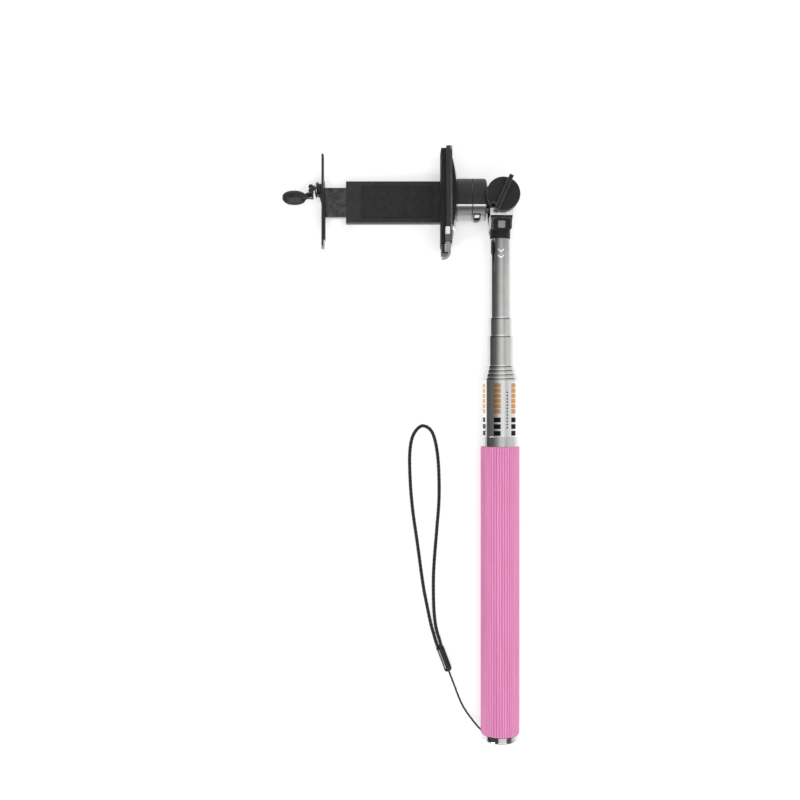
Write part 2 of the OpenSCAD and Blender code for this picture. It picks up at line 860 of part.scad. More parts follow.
module cam_pin() {
    color("#a0a0a4") placed() post_z(pin_x, pin_y, pin_r, lever_z - pin_reach, lever_z + pin_reach);
}

// One arm of the lever's fork, from the neck to the pin
module fork_arm() {
    linear_extrude(fork_out - fork_in) {
        translate([pin_x, pin_y]) circle(r = hub_r, $fn = 48);
        translate(knuckle) circle(r = knuckle_r, $fn = 48);
        polygon([
            [pin_x - hub_r, pin_y], [pin_x + 1, pin_y], [neck_x[1] - 0.2, neck_y[1] - past],
            [neck_x[1] - 2.2, neck_y[1] - past]
        ]);
    }
}

module clamp_lever() {
    paddle_x = lever_tip_x + paddle_len / 2;
    color("#1b1b1d") placed() translate([0, 0, lever_z]) difference() {
        union() {
            for (low = [fork_in, -fork_out]) translate([0, 0, low]) fork_arm();
            span([neck_x[0], neck_y[0], -fork_out], [neck_x[1], neck_y[1], fork_out]);
            translate([0, 0, -paddle_half_t]) linear_extrude(2 * paddle_half_t) {
                polygon([for (a = [0:10:350])
                    [paddle_x + paddle_len / 2 * cos(a), paddle_y + paddle_w / 2 * sin(a)]]);
                translate([neck_x[0] - 2, neck_y[0]]) square([3, neck_y[1] - neck_y[0]]);
            }
        }
        post_z(pin_x, pin_y, pin_r + play, -fork_out - past, fork_out + past);
    }
}

grip_sleeve();
tube(1);  // tube_1
base_plug();
end_cap();
strap_pin();
strap_tail();
strap_bead();
strap_loop();
tube(2);  // tube_2
tube(3);  // tube_3
tube(4);  // tube_4
tube(5);  // tube_5
tube(6);  // tube_6
last_tube();  // tube_7
bush(2);  // bush_2
bush(3);  // bush_3
bush(4);  // bush_4
bush(5);  // bush_5
bush(6);  // bush_6
bush(7);  // bush_7
neck_collar();
neck_rivet();
clevis();
pivot_bolt();
pivot_nut();
pivot_washers();
tilt_knob();
knob_insert();
tilt_block();
head_barrel();
head_shell();
camera_screw();
slot_liner();
set_screw();
clip_barrel();
clip_shell();
thread_insert();
fixed_jaw();
jaw_dome();
jaw_backbone();
jaw_catch();
fixed_pad();
slide_housing();
back_cover();
cover_screws();
back_pad();
spring_post();
clip_spring();
sliding_jaw();
sliding_pad();
slide_rail();
rail_post();
jaw_hook();
clamp_boss();
cam_cup();
cam_pin();
clamp_lever();
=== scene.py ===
import json
import math
import bmesh
import bpy
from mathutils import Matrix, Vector


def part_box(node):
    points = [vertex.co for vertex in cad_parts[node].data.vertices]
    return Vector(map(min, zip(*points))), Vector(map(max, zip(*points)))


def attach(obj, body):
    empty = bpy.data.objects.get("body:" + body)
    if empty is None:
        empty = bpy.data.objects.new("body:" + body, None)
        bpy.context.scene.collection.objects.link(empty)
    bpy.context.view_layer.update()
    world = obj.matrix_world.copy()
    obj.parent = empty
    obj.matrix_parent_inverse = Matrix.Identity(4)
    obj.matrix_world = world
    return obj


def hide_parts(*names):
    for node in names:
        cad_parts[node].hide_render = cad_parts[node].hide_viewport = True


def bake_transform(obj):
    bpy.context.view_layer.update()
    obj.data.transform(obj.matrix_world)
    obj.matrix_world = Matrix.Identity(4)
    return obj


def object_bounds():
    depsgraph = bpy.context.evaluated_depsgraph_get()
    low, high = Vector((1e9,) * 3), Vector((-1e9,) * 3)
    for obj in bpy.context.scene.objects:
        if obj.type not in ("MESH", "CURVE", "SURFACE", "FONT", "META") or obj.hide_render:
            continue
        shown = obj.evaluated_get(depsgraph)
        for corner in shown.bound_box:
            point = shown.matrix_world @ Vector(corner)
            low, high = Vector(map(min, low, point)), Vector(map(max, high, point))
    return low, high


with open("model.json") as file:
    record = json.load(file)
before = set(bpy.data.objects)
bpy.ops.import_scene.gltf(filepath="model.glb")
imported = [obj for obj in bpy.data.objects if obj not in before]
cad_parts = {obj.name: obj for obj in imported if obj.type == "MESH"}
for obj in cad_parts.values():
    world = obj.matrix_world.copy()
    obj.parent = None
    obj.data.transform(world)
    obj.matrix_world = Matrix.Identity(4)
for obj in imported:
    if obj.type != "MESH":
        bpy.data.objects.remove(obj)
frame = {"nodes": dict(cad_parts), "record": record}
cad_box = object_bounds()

# Lengths below are in millimetres in the stick's own coordinates: X = Z = 0 on the stick's axis,
# Y = 0 at the butt. at() turns them into metres in the frame.
MM = 0.001
BUTT_LOW, BUTT_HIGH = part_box("end_cap")
BUTT = Vector(((BUTT_LOW[0] + BUTT_HIGH[0]) / 2, BUTT_LOW[1], (BUTT_LOW[2] + BUTT_HIGH[2]) / 2))

PIVOT_LOW, PIVOT_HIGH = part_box("pivot_bolt")
PIVOT_Y = ((PIVOT_LOW[1] + PIVOT_HIGH[1]) / 2 - BUTT[1]) / MM

# The camera's place, and half the width that it sees at the height of the stick's axis
CAMERA_AT = (-50.5, 171.4, 500.0)
CAMERA_HALF_WIDTH = 202.0
SENSOR = 36.0


def at(x, y, z):
    """A point of the stick, in metres in the frame."""
    return BUTT + Vector((x, y, z)) * MM


def smooth_step(low, high, value):
    """0 below low, 1 above high, and a smooth rise between them."""
    t = max(0.0, min(1.0, (value - low) / (high - low)))
    return t * t * (3 - 2 * t)


# ---------------------------------------------------------------- camera

def make_camera():
    """Looks straight down on the stick, with its head at the top of the picture."""
    data = bpy.data.cameras.new("camera")
    data.sensor_width = SENSOR
    data.lens = SENSOR / 2 * CAMERA_AT[2] / CAMERA_HALF_WIDTH
    data.clip_start = 0.01
    camera = bpy.data.objects.new("camera", data)
    camera.location = at(*CAMERA_AT)
    bpy.context.scene.collection.objects.link(camera)
    bpy.context.scene.camera = camera


# ---------------------------------------------------------------- meshes

def mesh_piece(name, points, faces, body, smooth=True):
    """A new piece made of points in metres, riding on a body if one is named."""
    mesh = bpy.data.meshes.new(name)
    mesh.from_pydata([tuple(p) for p in points], [], faces)
    mesh.validate()
    solid = bmesh.new()
    solid.from_mesh(mesh)
    bmesh.ops.recalc_face_normals(solid, faces=solid.faces)
    solid.to_mesh(mesh)
    solid.free()
    mesh.update()
    for polygon in mesh.polygons:
        polygon.use_smooth = smooth
    piece = bpy.data.objects.new(name, mesh)
    bpy.context.scene.collection.objects.link(piece)
    if body:
        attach(piece, body)
    return piece


def ring_faces(rings, sides, closed=False):
    """Quads between rings of points. A closed set of rings joins the last to the first."""
    faces = []
    for i in range(rings if closed else rings - 1):
        here, after = i * sides, (i + 1) % rings * sides
        for k in range(sides):
            right = (k + 1) % sides
            faces.append((here + k, here + right, after + right, after + k))
    return faces


def capped_faces(rings, sides):
    """Ring faces with a flat cap on each end."""
    last = (rings - 1) * sides
    caps = [tuple(reversed(range(sides))), tuple(range(last, last + sides))]
    return ring_faces(rings, sides) + caps


def curve_at(route, i, t):
    """Catmull-Rom point on stretch i of a route."""
    last = len(route) - 1
    a, b, c, d = (route[max(0, min(last, i + k))] for k in (-1, 0, 1, 2))
    return 0.5 * (2 * b + (c - a) * t + (2 * a - 5 * b + 4 * c - d) * t ** 2
                  + (3 * b - a - 3 * c + d) * t ** 3)


def even_points(route, gap):
    """Points along a route's smooth curve, a gap apart."""
    fine = [curve_at(route, i, k / 40) for i in range(len(route) - 1) for k in range(40)]
    fine.append(route[-1].copy())
    length = sum((b - a).length for a, b in zip(fine, fine[1:]))
    count = max(2, round(length / gap))
    step, walked, points = length / count, 0.0, [fine[0]]
    for a, b in zip(fine, fine[1:]):
        piece = (b - a).length
        while len(points) < count and walked + piece >= step * len(points):
            points.append(a.lerp(b, (step * len(points) - walked) / piece))
        walked += piece
    return points + [fine[-1]], length


def swept(points, sides, radius_at):
    """Rings of points round a path. radius_at takes the distance along it and the angle."""
    rings, walked = [], 0.0
    for i, point in enumerate(points):
        if i:
            walked += (point - points[i - 1]).length
        along = (points[min(i + 1, len(points) - 1)] - points[max(i - 1, 0)]).normalized()
        side = along.cross(Vector((0, 0, 1))).normalized()
        up = side.cross(along)
        for k in range(sides):
            angle = 2 * math.pi * k / sides
            radius = radius_at(walked, angle)
            rings.append(point + (side * math.cos(angle) + up * math.sin(angle)) * radius)
    return rings


# ---------------------------------------------------------------- wrist strap

# Both routes start or end in the bead. The tail's other end is tied inside the end cap.
LOOP_ROUTE = [
    (-31.4, 45.3, -8.6), (-32.4, 48.4, -8.8), (-33.4, 51.8, -9.4), (-34.6, 56, -9.8),
    (-37, 67.5, -9.8), (-38.8, 77.5, -9.8), (-41.6, 98, -9.8), (-44, 115, -9.8),
    (-45.3, 131, -9.8), (-45.4, 145, -9.8), (-43.6, 153.5, -9.8), (-39.4, 158, -9.8),
    (-34.8, 156, -9.8), (-32.2, 149.5, -9.8), (-30.7, 138, -9.8), (-30.4, 121, -9.8),
    (-31.6, 104.5, -9.8), (-33, 86.5, -9.8), (-33.3, 76, -9.8), (-33.1, 65, -9.8),
    (-32.4, 57, -9.8), (-31.4, 52, -9.4), (-30.4, 48.9, -8.8), (-29.6, 46, -8.6)]
TAIL_ROUTE = [
    (-25.5, 32.4, -8.6), (-24.4, 29.5, -9), (-23.3, 26.5, -9.7), (-22, 23, -10.1),
    (-20.5, 19, -10.1), (-18.5, 14.5, -10.1), (-16.1, 10.5, -10.1), (-13.4, 7, -9.5),
    (-11, 4.4, -8), (-9, 2.8, -6.4), (-7, 2.3, -4.9), (-4.9, 2.3, -3.45)]
LOOP_WIDTH = 1.8 * MM
TAIL_WIDTH = 1.0 * MM
LOOP_PITCH = 2.2 * MM
TAIL_PITCH = 3.0 * MM
BEAD_TOP = (-30.5, 45.6, -8.55)
BEAD_END = (-25.5, 32.4, -8.55)
BEAD_RADIUS = 2.15 * MM


def braid(width, strands, pitch, depth):
    """Radius of a braided cord: strands wind both ways and cross over each other."""
    def radius_at(along, angle):
        turn = strands * angle / 2
        lean = math.pi * along / pitch
        weave = math.cos(turn + lean) * math.cos(turn - lean)
        return width / 2 * (1 - depth + depth * abs(weave))
    return radius_at


def twist(width, strands, pitch, depth):
    """Radius of a twisted cord of a few strands."""
    def radius_at(along, angle):
        wind = math.cos(strands * angle / 2 + math.pi * along / pitch)
        return width / 2 * (1 - depth + depth * abs(wind))
    return radius_at


def cord_piece(name, route, gap, sides, radius_at):
    """A tube of that surface along a route, with its ends closed."""
    path, length = even_points([at(*p) for p in route], gap)
    points = swept(path, sides, radius_at)
    faces = capped_faces(len(path), sides)
    return mesh_piece(name, points, faces, "handle"), path, length


def bead_piece():
    """Slider bead: a rounded barrel with shallow flutes along it."""
    top, end = at(*BEAD_TOP), at(*BEAD_END)
    length = (end - top).length
    steps, sides, flutes = 40, 64, 8
    round_off, end_share, flute_depth = 0.16, 0.62, 0.025

    def radius_at(along, angle):
        t = min(max(along / length, 0), 1)
        edge = min(t, 1 - t) / round_off
        dome = math.sqrt(max(0.0, 1 - (1 - min(edge, 1)) ** 2))
        flute = flute_depth * (0.5 + 0.5 * math.cos(flutes * angle)) * dome
        return BEAD_RADIUS * (end_share + (1 - end_share) * dome) * (1 - flute)
    path = [top.lerp(end, i / steps) for i in range(steps + 1)]
    points = swept(path, sides, radius_at)
    faces = capped_faces(steps + 1, sides)
    return mesh_piece("strap_bead_slider", points, faces, "handle")


def make_strap():
    """Braided loop, slider bead and twisted tail, in place of the CAD's plain ones."""
    bead = bead_piece()
    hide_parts("strap_bead")
    loop, loop_path, loop_length = cord_piece(
        "strap_loop_cord", LOOP_ROUTE, 0.22 * MM, 32, braid(LOOP_WIDTH, 6, LOOP_PITCH, 0.14))
    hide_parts("strap_loop")
    tail, tail_path, tail_length = cord_piece(
        "strap_tail_cord", TAIL_ROUTE[::-1], 0.16 * MM, 16,
        twist(TAIL_WIDTH, 3, TAIL_PITCH, 0.22))
    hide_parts("strap_tail")
    return loop, tail, bead


# ---------------------------------------------------------------- grip

GRIP_RIBS = 44


def make_grip():
    """Sleeve with smooth ribs that run out in a scalloped edge at both ends."""
    low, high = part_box("grip_sleeve")
    outer = (high[0] - low[0]) / 2
    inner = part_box("tube_1")[1][0] - BUTT[0]
    per_rib, rib_high, end_len, end_drop, valley = 10, 0.5 * MM, 0.6 * MM, 0.35 * MM, 0.14
    sides = GRIP_RIBS * per_rib

    def rib(angle):
        across = abs(angle * GRIP_RIBS / (2 * math.pi) % 1 - 0.5) * 2 / (1 - valley)
        return math.sqrt(max(0.0, 1 - across ** 2))
    ends = [i / 6 for i in range(7)]
    stations = [(low[1], None)]
    stations += [(low[1] + end_len * t, t) for t in ends]
    stations += [(high[1] - end_len * t, t) for t in reversed(ends)]
    stations += [(high[1], None)]
    points = []
    for y, t in stations:
        for k in range(sides):
            angle = 2 * math.pi * k / sides
            if t is None:
                radius = inner
            else:
                bulge = math.sqrt(max(0.0, 1 - (1 - t) ** 2))
                radius = outer - rib_high - end_drop * (1 - bulge) + rib_high * rib(angle) * bulge
            across, up = radius * math.sin(angle), radius * math.cos(angle)
            points.append(Vector((BUTT[0] + across, y, BUTT[2] + up)))
    faces = ring_faces(len(stations), sides, closed=True)
    grip = mesh_piece("ribbed_grip", points, faces, "handle")
    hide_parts("grip_sleeve")
    return grip


# ---------------------------------------------------------------- clip spring

SPRING_TURNS = 26
STEPS_PER_TURN = 28
SPRING_WIRE = 0.2
# Each end is hooked round its post by this angle in degrees, with this clearance
HOOK_TURN = 100
HOOK_STEPS = 10
HOOK_CLEAR = 0.04


def middle_of(node):
    """The middle of a CAD node's box, in the stick's coordinates."""
    low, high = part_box(node)
    return [((a + b) / 2 - c) / MM for a, b, c in zip(low, high, BUTT)]


def wire_rings(path, sides, radius):
    """Rings round a path that may run in any direction, each turned as little as possible."""
    rings = []
    side = Vector((0, 0, 1))
    for i, point in enumerate(path):
        along = (path[min(i + 1, len(path) - 1)] - path[max(i - 1, 0)]).normalized()
        side = (side - along * side.dot(along)).normalized()
        up = along.cross(side)
        for k in range(sides):
            angle = 2 * math.pi * k / sides
            rings.append(point + (side * math.cos(angle) + up * math.sin(angle)) * radius)
    return rings


def make_spring():
    """Coil spring hooked on the rail's post and the clip's post."""
    low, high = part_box("clip_spring")
    coil = (high[2] - low[2]) / 2 / MM - SPRING_WIRE
    rail, still = middle_of("rail_post"), middle_of("spring_post")
    post_low, post_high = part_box("rail_post")
    hook = (post_high[0] - post_low[0]) / 2 / MM + SPRING_WIRE + HOOK_CLEAR
    y, z = rail[1], middle_of("clip_spring")[2]

    def hooked(post_x, way, turns):
        """Points round a post. The way is 1 for the hook on the left and -1 for the other."""
        reach = way * hook
        return [at(post_x + reach * math.cos(a), y + reach * math.sin(a), z) for a in turns]
    full_hook = math.radians(HOOK_TURN)
    first, last = rail[0] + hook, still[0] - hook
    path = hooked(rail[0], 1, [full_hook * (1 - i / HOOK_STEPS) for i in range(HOOK_STEPS)])
    steps = SPRING_TURNS * STEPS_PER_TURN
    for i in range(steps + 1):
        t = i / steps
        wide = coil * smooth_step(0, 0.05, min(t, 1 - t))
        turn = 2 * math.pi * SPRING_TURNS * t
        x = first + (last - first) * t
        path.append(at(x, y + wide * math.sin(turn), z + wide * math.cos(turn)))
    path += hooked(still[0], -1, [full_hook * i / HOOK_STEPS for i in range(1, HOOK_STEPS + 1)])
    sides = 10
    points = wire_rings(path, sides, SPRING_WIRE * MM)
    spring = mesh_piece("coil_spring", points, capped_faces(len(path), sides), None)
    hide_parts("clip_spring")
    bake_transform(spring)
    return spring


# ---------------------------------------------------------------- marks on the last tube

CHEVRONS_AT = (246.8, 243.8)
CHEVRON_HALF = 1.5
CHEVRON_DEEP = 1.2
CHEVRON_THICK = 0.75
# A mark starts just inside the tube's surface and ends just above it
CHEVRON_LIFTS = (-0.03, 0.012)


def make_chevrons():
    """Two small V marks that lie on the innermost tube and point to the butt."""
    radius = (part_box("tube_7")[1][0] - BUTT[0]) / MM
    made = []
    for index, y in enumerate(CHEVRONS_AT):
        steps = 12
        points, faces = [], []
        for i in range(steps + 1):
            x = CHEVRON_HALF * (2 * i / steps - 1)
            mid = y - CHEVRON_DEEP * (1 - abs(x) / CHEVRON_HALF)
            for side in (-0.5, 0.5):
                for lift in CHEVRON_LIFTS:
                    z = math.sqrt((radius + lift) ** 2 - x * x)
                    points.append(at(x, mid + side * CHEVRON_THICK, z))
        for i in range(steps):
            a, b = 4 * i, 4 * i + 4
            faces += [(a + 1, b + 1, b + 3, a + 3), (a, a + 2, b + 2, b),
                      (a, b, b + 1, a + 1), (a + 2, a + 3, b + 3, b + 2)]
        faces += [(0, 1, 3, 2), (4 * steps, 4 * steps + 2, 4 * steps + 3, 4 * steps + 1)]
        name = f"tube_chevron_{index + 1}"
        made.append(mesh_piece(name, points, faces, "section_7", smooth=False))
    return made


# ---------------------------------------------------------------- lever

LEVER_Z = -2.5
PADDLE_TIP = -110.25
PADDLE_LEN = 12.3
PADDLE_HALF = 3.62
PADDLE_Y = 274.0
NECK_END = -94.5
NECK_Y = 275.0
NECK_HALF = 1.62
# Round bosses of the fork, as X, Y and radius, and the Z range of its two layers
FORK_ROUNDS = ((-95.3, 278.7, 1.28), (-95.4, 276.65, 1.22))
FORK_LAYERS = ((1.22, 2.38), (-2.38, -1.22))
# The two rims in the paddle's section, as the share of its half width and the height in mm
HIGH_RIM = [(1.0, 0.0), (0.99, 0.5), (0.96, 1.0), (0.91, 1.3), (0.85, 1.36), (0.81, 1.27),
            (0.78, 1.22)]
LOW_RIM = [(-0.78, 0.27), (-0.81, 0.3), (-0.85, 0.42), (-0.91, 0.42), (-0.96, 0.34),
           (-0.99, 0.2), (-1.0, 0.0)]
RIM_INSIDE = 0.78


def paddle_profile(crest):
    """Half a section of the paddle: a rim, a nearly flat facet, a ridge, a steep facet, a rim."""
    peak, shares = 1.42, (0.75, 0.5, 0.25, 0.06)
    near = [(crest + (RIM_INSIDE - crest) * t, peak - 0.2 * t) for t in shares]
    far = [(crest - (RIM_INSIDE + crest) * t, peak - 1.15 * t) for t in reversed(shares)]
    return HIGH_RIM + near + [(crest, peak)] + far + LOW_RIM


def lever_ring(x):
    """One ring round the lever, from the paddle's section to the neck's."""
    along = (x - PADDLE_TIP) / PADDLE_LEN
    oval = PADDLE_HALF * max(0.0, 1 - abs(2 * along - 1) ** 2.4) ** 0.5 if along < 1 else 0.0
    joined = smooth_step(0.84, 1.04, along)
    flare = smooth_step(1.05, 1.28, along)
    neck = NECK_HALF * (1 + 0.08 * flare) * smooth_step(0.7, 0.95, along)
    half = max(oval, neck, 0.05)
    middle = PADDLE_Y + (NECK_Y - PADDLE_Y) * smooth_step(0.9, 1.05, along)
    tall = 1.35 + 0.95 * flare
    flat = min(1.0, half / 1.6)
    top = paddle_profile(-0.05 - 0.3 * (along - 0.5) ** 2)
    ring = []
    for half_turn, profile in ((1, top), (-1, [(-u, z) for u, z in top])):
        for i, (u, z) in enumerate(profile[:-1]):
            angle = math.pi * i / (len(profile) - 1)
            neck_u = math.copysign(abs(math.cos(angle)) ** 0.6, math.cos(angle))
            neck_z = tall * math.sin(angle) ** 0.5
            side = u + (half_turn * neck_u - u) * joined
            lift = z * flat + (neck_z - z * flat) * joined
            ring.append(at(x, middle + half * side, LEVER_Z + half_turn * lift))
    return ring


def puck(x, y, radius, low, high, soft=0.35, sides=32):
    """Points and faces of a short round boss with rounded rims."""
    arc = [i * math.pi / 8 for i in range(5)]
    profile = [(radius - soft * (1 - math.sin(a)), low + soft * (1 - math.cos(a))) for a in arc]
    profile += [(r, low + high - z) for r, z in reversed(profile)]
    turns = [2 * math.pi * k / sides for k in range(sides)]
    points = [at(x + r * math.cos(t), y + r * math.sin(t), z) for r, z in profile for t in turns]
    return points, capped_faces(len(profile), sides)


def make_lever():
    """Paddle lever: an oval with rims and a ridge, a waisted neck, and a fork round the pin."""
    count = 64
    stations = [PADDLE_TIP + (NECK_END - PADDLE_TIP) * (1 - math.cos(math.pi * i / count)) / 2
                for i in range(count + 1)]
    rings = [lever_ring(x) for x in stations]
    sides = len(rings[0])
    points = [point for ring in rings for point in ring]
    faces = capped_faces(len(rings), sides)
    for x, y, radius in FORK_ROUNDS:
        for low, high in FORK_LAYERS:
            more, joined = puck(x, y, radius, low, high)
            faces += [tuple(len(points) + k for k in face) for face in joined]
            points += more
    lever = mesh_piece("lever_paddle", points, faces, "lever")
    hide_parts("clamp_lever")
    return lever


# ---------------------------------------------------------------- materials

class Shader:
    """A Principled shader with helpers that add procedural detail. Coordinates are in mm."""

    def __init__(self, name, colour, roughness, metallic=0.0, **sockets):
        self.material = bpy.data.materials.new(name)
        self.material.use_nodes = True
        self.nodes = self.material.node_tree.nodes
        self.links = self.material.node_tree.links
        self.shader = self.nodes["Principled BSDF"]
        self.colour = colour
        self.roughness = roughness
        self.set("Base Color", (*colour, 1))
        self.set("Roughness", roughness)
        self.set("Metallic", metallic)
        for socket, value in sockets.items():
            self.set(socket.replace("_", " "), value)
        self.height = None

    def set(self, socket, value):
        self.shader.inputs[socket].default_value = value

    def colour_from(self, output):
        self.links.new(output, self.shader.inputs["Base Color"])

    def node(self, kind, **inputs):
        made = self.nodes.new(kind)
        for key, value in inputs.items():
            if isinstance(value, bpy.types.NodeSocket):
                self.links.new(value, made.inputs[key])
            else:
                made.inputs[key].default_value = value
        return made

    def place(self, stretch=(1, 1, 1)):
        """Object coordinates in millimetres, stretched."""
        coordinates = self.nodes.new("ShaderNodeTexCoord").outputs["Object"]
        scale = tuple(s / MM for s in stretch)
        return self.node("ShaderNodeMapping", Vector=coordinates, Scale=scale).outputs["Vector"]

    def math(self, operation, a, b=0.0, c=0.0):
        made = self.nodes.new("ShaderNodeMath")
        made.operation = operation
        for index, value in enumerate((a, b, c)):
            if isinstance(value, bpy.types.NodeSocket):
                self.links.new(value, made.inputs[index])
            else:
                made.inputs[index].default_value = value
        return made.outputs[0]

    def stick_axes(self):
        """X, Y and Z of the stick's own coordinates in millimetres."""
        coordinates = self.nodes.new("ShaderNodeTexCoord").outputs["Object"]
        moved = self.node("ShaderNodeMapping", Vector=coordinates, Scale=(1 / MM,) * 3,
                          Location=tuple(-c / MM for c in BUTT))
        return self.node("ShaderNodeSeparateXYZ", Vector=moved.outputs["Vector"]).outputs

    def within(self, value, low, high, soft=0.05):
        """1 where a value lies between two limits, else 0."""
        rise = self.math("SUBTRACT", value, low)
        fall = self.math("SUBTRACT", high, value)
        least = self.math("DIVIDE", self.math("MINIMUM", rise, fall), soft)
        clipped = self.math("ADD", least, 0.5)
        self.nodes[-1].use_clamp = True
        return clipped

    def mix(self, mask, a, b):
        """Colour a where the mask is 0, and b where it is 1."""
        made = self.nodes.new("ShaderNodeMix")
        made.data_type = "RGBA"
        for name, value in (("Factor", mask), ("A", a), ("B", b)):
            kind = "VALUE" if name == "Factor" else "RGBA"
            socket = next(i for i in made.inputs if i.name == name and i.type == kind)
            if isinstance(value, bpy.types.NodeSocket):
                self.links.new(value, socket)
            else:
                socket.default_value = value if name == "Factor" else (*value, 1)
        return next(o for o in made.outputs if o.type == "RGBA")

    def noise(self, scale, stretch=(1, 1, 1), detail=4.0, roughness=0.55):
        made = self.node("ShaderNodeTexNoise", Vector=self.place(stretch), Scale=scale,
                         Detail=detail, Roughness=roughness)
        return made.outputs["Fac"]

    def ramp(self, value, stops):
        made = self.node("ShaderNodeValToRGB", Fac=value)
        elements = made.color_ramp.elements
        while len(elements) < len(stops):
            elements.new(0.5)
        for element, (position, colour) in zip(elements, stops):
            element.position = position
            element.color = (*colour, 1)
        return made.outputs["Color"]

    def vary_colour(self, value, low=0.85, high=1.12):
        """Runs the base colour from darker to lighter along a value from 0 to 1."""
        dark = tuple(c * low for c in self.colour)
        light = tuple(min(1.0, c * high) for c in self.colour)
        self.colour_from(self.ramp(value, [(0.3, dark), (0.7, light)]))

    def vary_roughness(self, value, spread):
        low = max(0.02, self.roughness - spread)
        high = min(1.0, self.roughness + spread)
        made = self.node("ShaderNodeMapRange", Value=value)
        made.inputs["From Min"].default_value = 0.3
        made.inputs["From Max"].default_value = 0.7
        made.inputs["To Min"].default_value = low
        made.inputs["To Max"].default_value = high
        self.links.new(made.outputs["Result"], self.shader.inputs["Roughness"])

    def edge_wear_and_highlight(self, width_mm, colour, amount=0.8):
        """Paler base colour along sharp edges: partly wear where handling has rubbed them, partly a
        painted highlight.
        """
        rounded = self.nodes.new("ShaderNodeBevel")
        rounded.samples = 4
        rounded.inputs["Radius"].default_value = width_mm * MM
        flat = self.nodes.new("ShaderNodeNewGeometry").outputs["Normal"]
        turn = self.nodes.new("ShaderNodeVectorMath")
        turn.operation = "DOT_PRODUCT"
        self.links.new(rounded.outputs["Normal"], turn.inputs[0])
        self.links.new(flat, turn.inputs[1])
        away = self.math("SUBTRACT", 1.0, turn.outputs["Value"])
        mask = self.math("MULTIPLY", away, 8.0)
        self.nodes[-1].use_clamp = True
        patchy = self.math("MULTIPLY", mask, self.math("ADD", self.noise(0.5, detail=5.0), 0.3))
        base = self.shader.inputs["Base Color"].links[0].from_socket
        # Paler edges: partly rubbed wear, partly a painted highlight along them.
        self.colour_from(self.mix(self.math("MULTIPLY", patchy, amount), base, colour))

    def bump(self, value, depth_mm, strength=1.0):
        made = self.node("ShaderNodeBump", Height=value, Distance=depth_mm * MM, Strength=strength)
        if self.height is not None:
            self.links.new(self.height, made.inputs["Normal"])
        self.height = made.outputs["Normal"]
        self.links.new(self.height, self.shader.inputs["Normal"])


def worn_plastic_with_edge_highlight(name, colour, roughness, grain=0.012, wear=(0.22, 0.09), **sockets):
    """Moulded black plastic: fine spark grain, patchy sheen and hairline scratches.

    The wear is the width in mm and the grey of its paler edges, which are partly rubbed and partly
    a painted highlight.
    """
    made = Shader(name, colour, roughness, **sockets)
    made.vary_colour(made.noise(0.25), 0.8, 1.25)
    made.vary_roughness(made.noise(0.6, detail=6.0), 0.09)
    made.bump(made.noise(7.0, detail=3.0), grain)
    made.bump(made.noise(1.2, stretch=(1, 0.06, 1), detail=6.0), 0.006)
    made.edge_wear_and_highlight(wear[0], (wear[1],) * 3)
    return made.material


def polished_metal(name, colour, roughness, along=(1, 0.02, 1), depth=0.0015):
    """Polished metal with fine drawn lines along one axis and faint smudges."""
    made = Shader(name, colour, roughness, 1.0)
    made.vary_colour(made.noise(0.2), 0.95, 1.03)
    lines = made.noise(3.0, stretch=along, detail=6.0, roughness=0.7)
    made.vary_roughness(lines, roughness * 0.45)
    made.bump(lines, depth)
    return made.material


# The chrome cup's axis, and the radius of its rim
CUP_AXIS_AT = (-93.25, 274.1, -2.5)
CUP_TILT = math.radians(17.5)
CUP_RIM = 7.2


def cup_chrome():
    """Chrome with a painted dark reflection in a ring along the cup's rim."""
    made = Shader("cup_chrome", (0.70, 0.70, 0.71), 0.08, 1.0)
    x, y, z = made.stick_axes()
    along = made.math("MULTIPLY", made.math("SUBTRACT", x, CUP_AXIS_AT[0]), math.sin(CUP_TILT))
    aside = made.math("MULTIPLY", made.math("SUBTRACT", y, CUP_AXIS_AT[1]), -math.cos(CUP_TILT))
    across = made.math("ADD", along, aside)
    height = made.math("SUBTRACT", z, CUP_AXIS_AT[2])
    squares = made.math("ADD", made.math("MULTIPLY", across, across),
                        made.math("MULTIPLY", height, height))
    # A ring of painted dark reflection along the rim.
    rim = made.within(made.math("SQRT", squares), CUP_RIM - 0.75, CUP_RIM + 1, 0.2)
    smudges = made.noise(1.0, detail=6.0)
    bright = made.ramp(smudges, [(0.3, (0.62, 0.62, 0.63)), (0.7, (0.78, 0.78, 0.79))])
    made.colour_from(made.mix(rim, bright, (0.05, 0.05, 0.05)))
    made.vary_roughness(smudges, 0.05)
    made.bump(smudges, 0.002)
    return made.material


# The jaw's plate is a rolled loop below this Y
ROLLED_BELOW = 246.5
# The plate's tip lies right of this X. It is painted black up to this Y as a painted dark
# reflection, and bright above it as a painted highlight.
TIP_FROM_X = -25.3
TIP_Y = (247.0, 257.2)
TIP_DARK_REFLECTION_BELOW = 254.7
# The catch's slope, which is coloured dark. Its foot lies below it.
CATCH_DARK_Y = (248.6, 252.4)


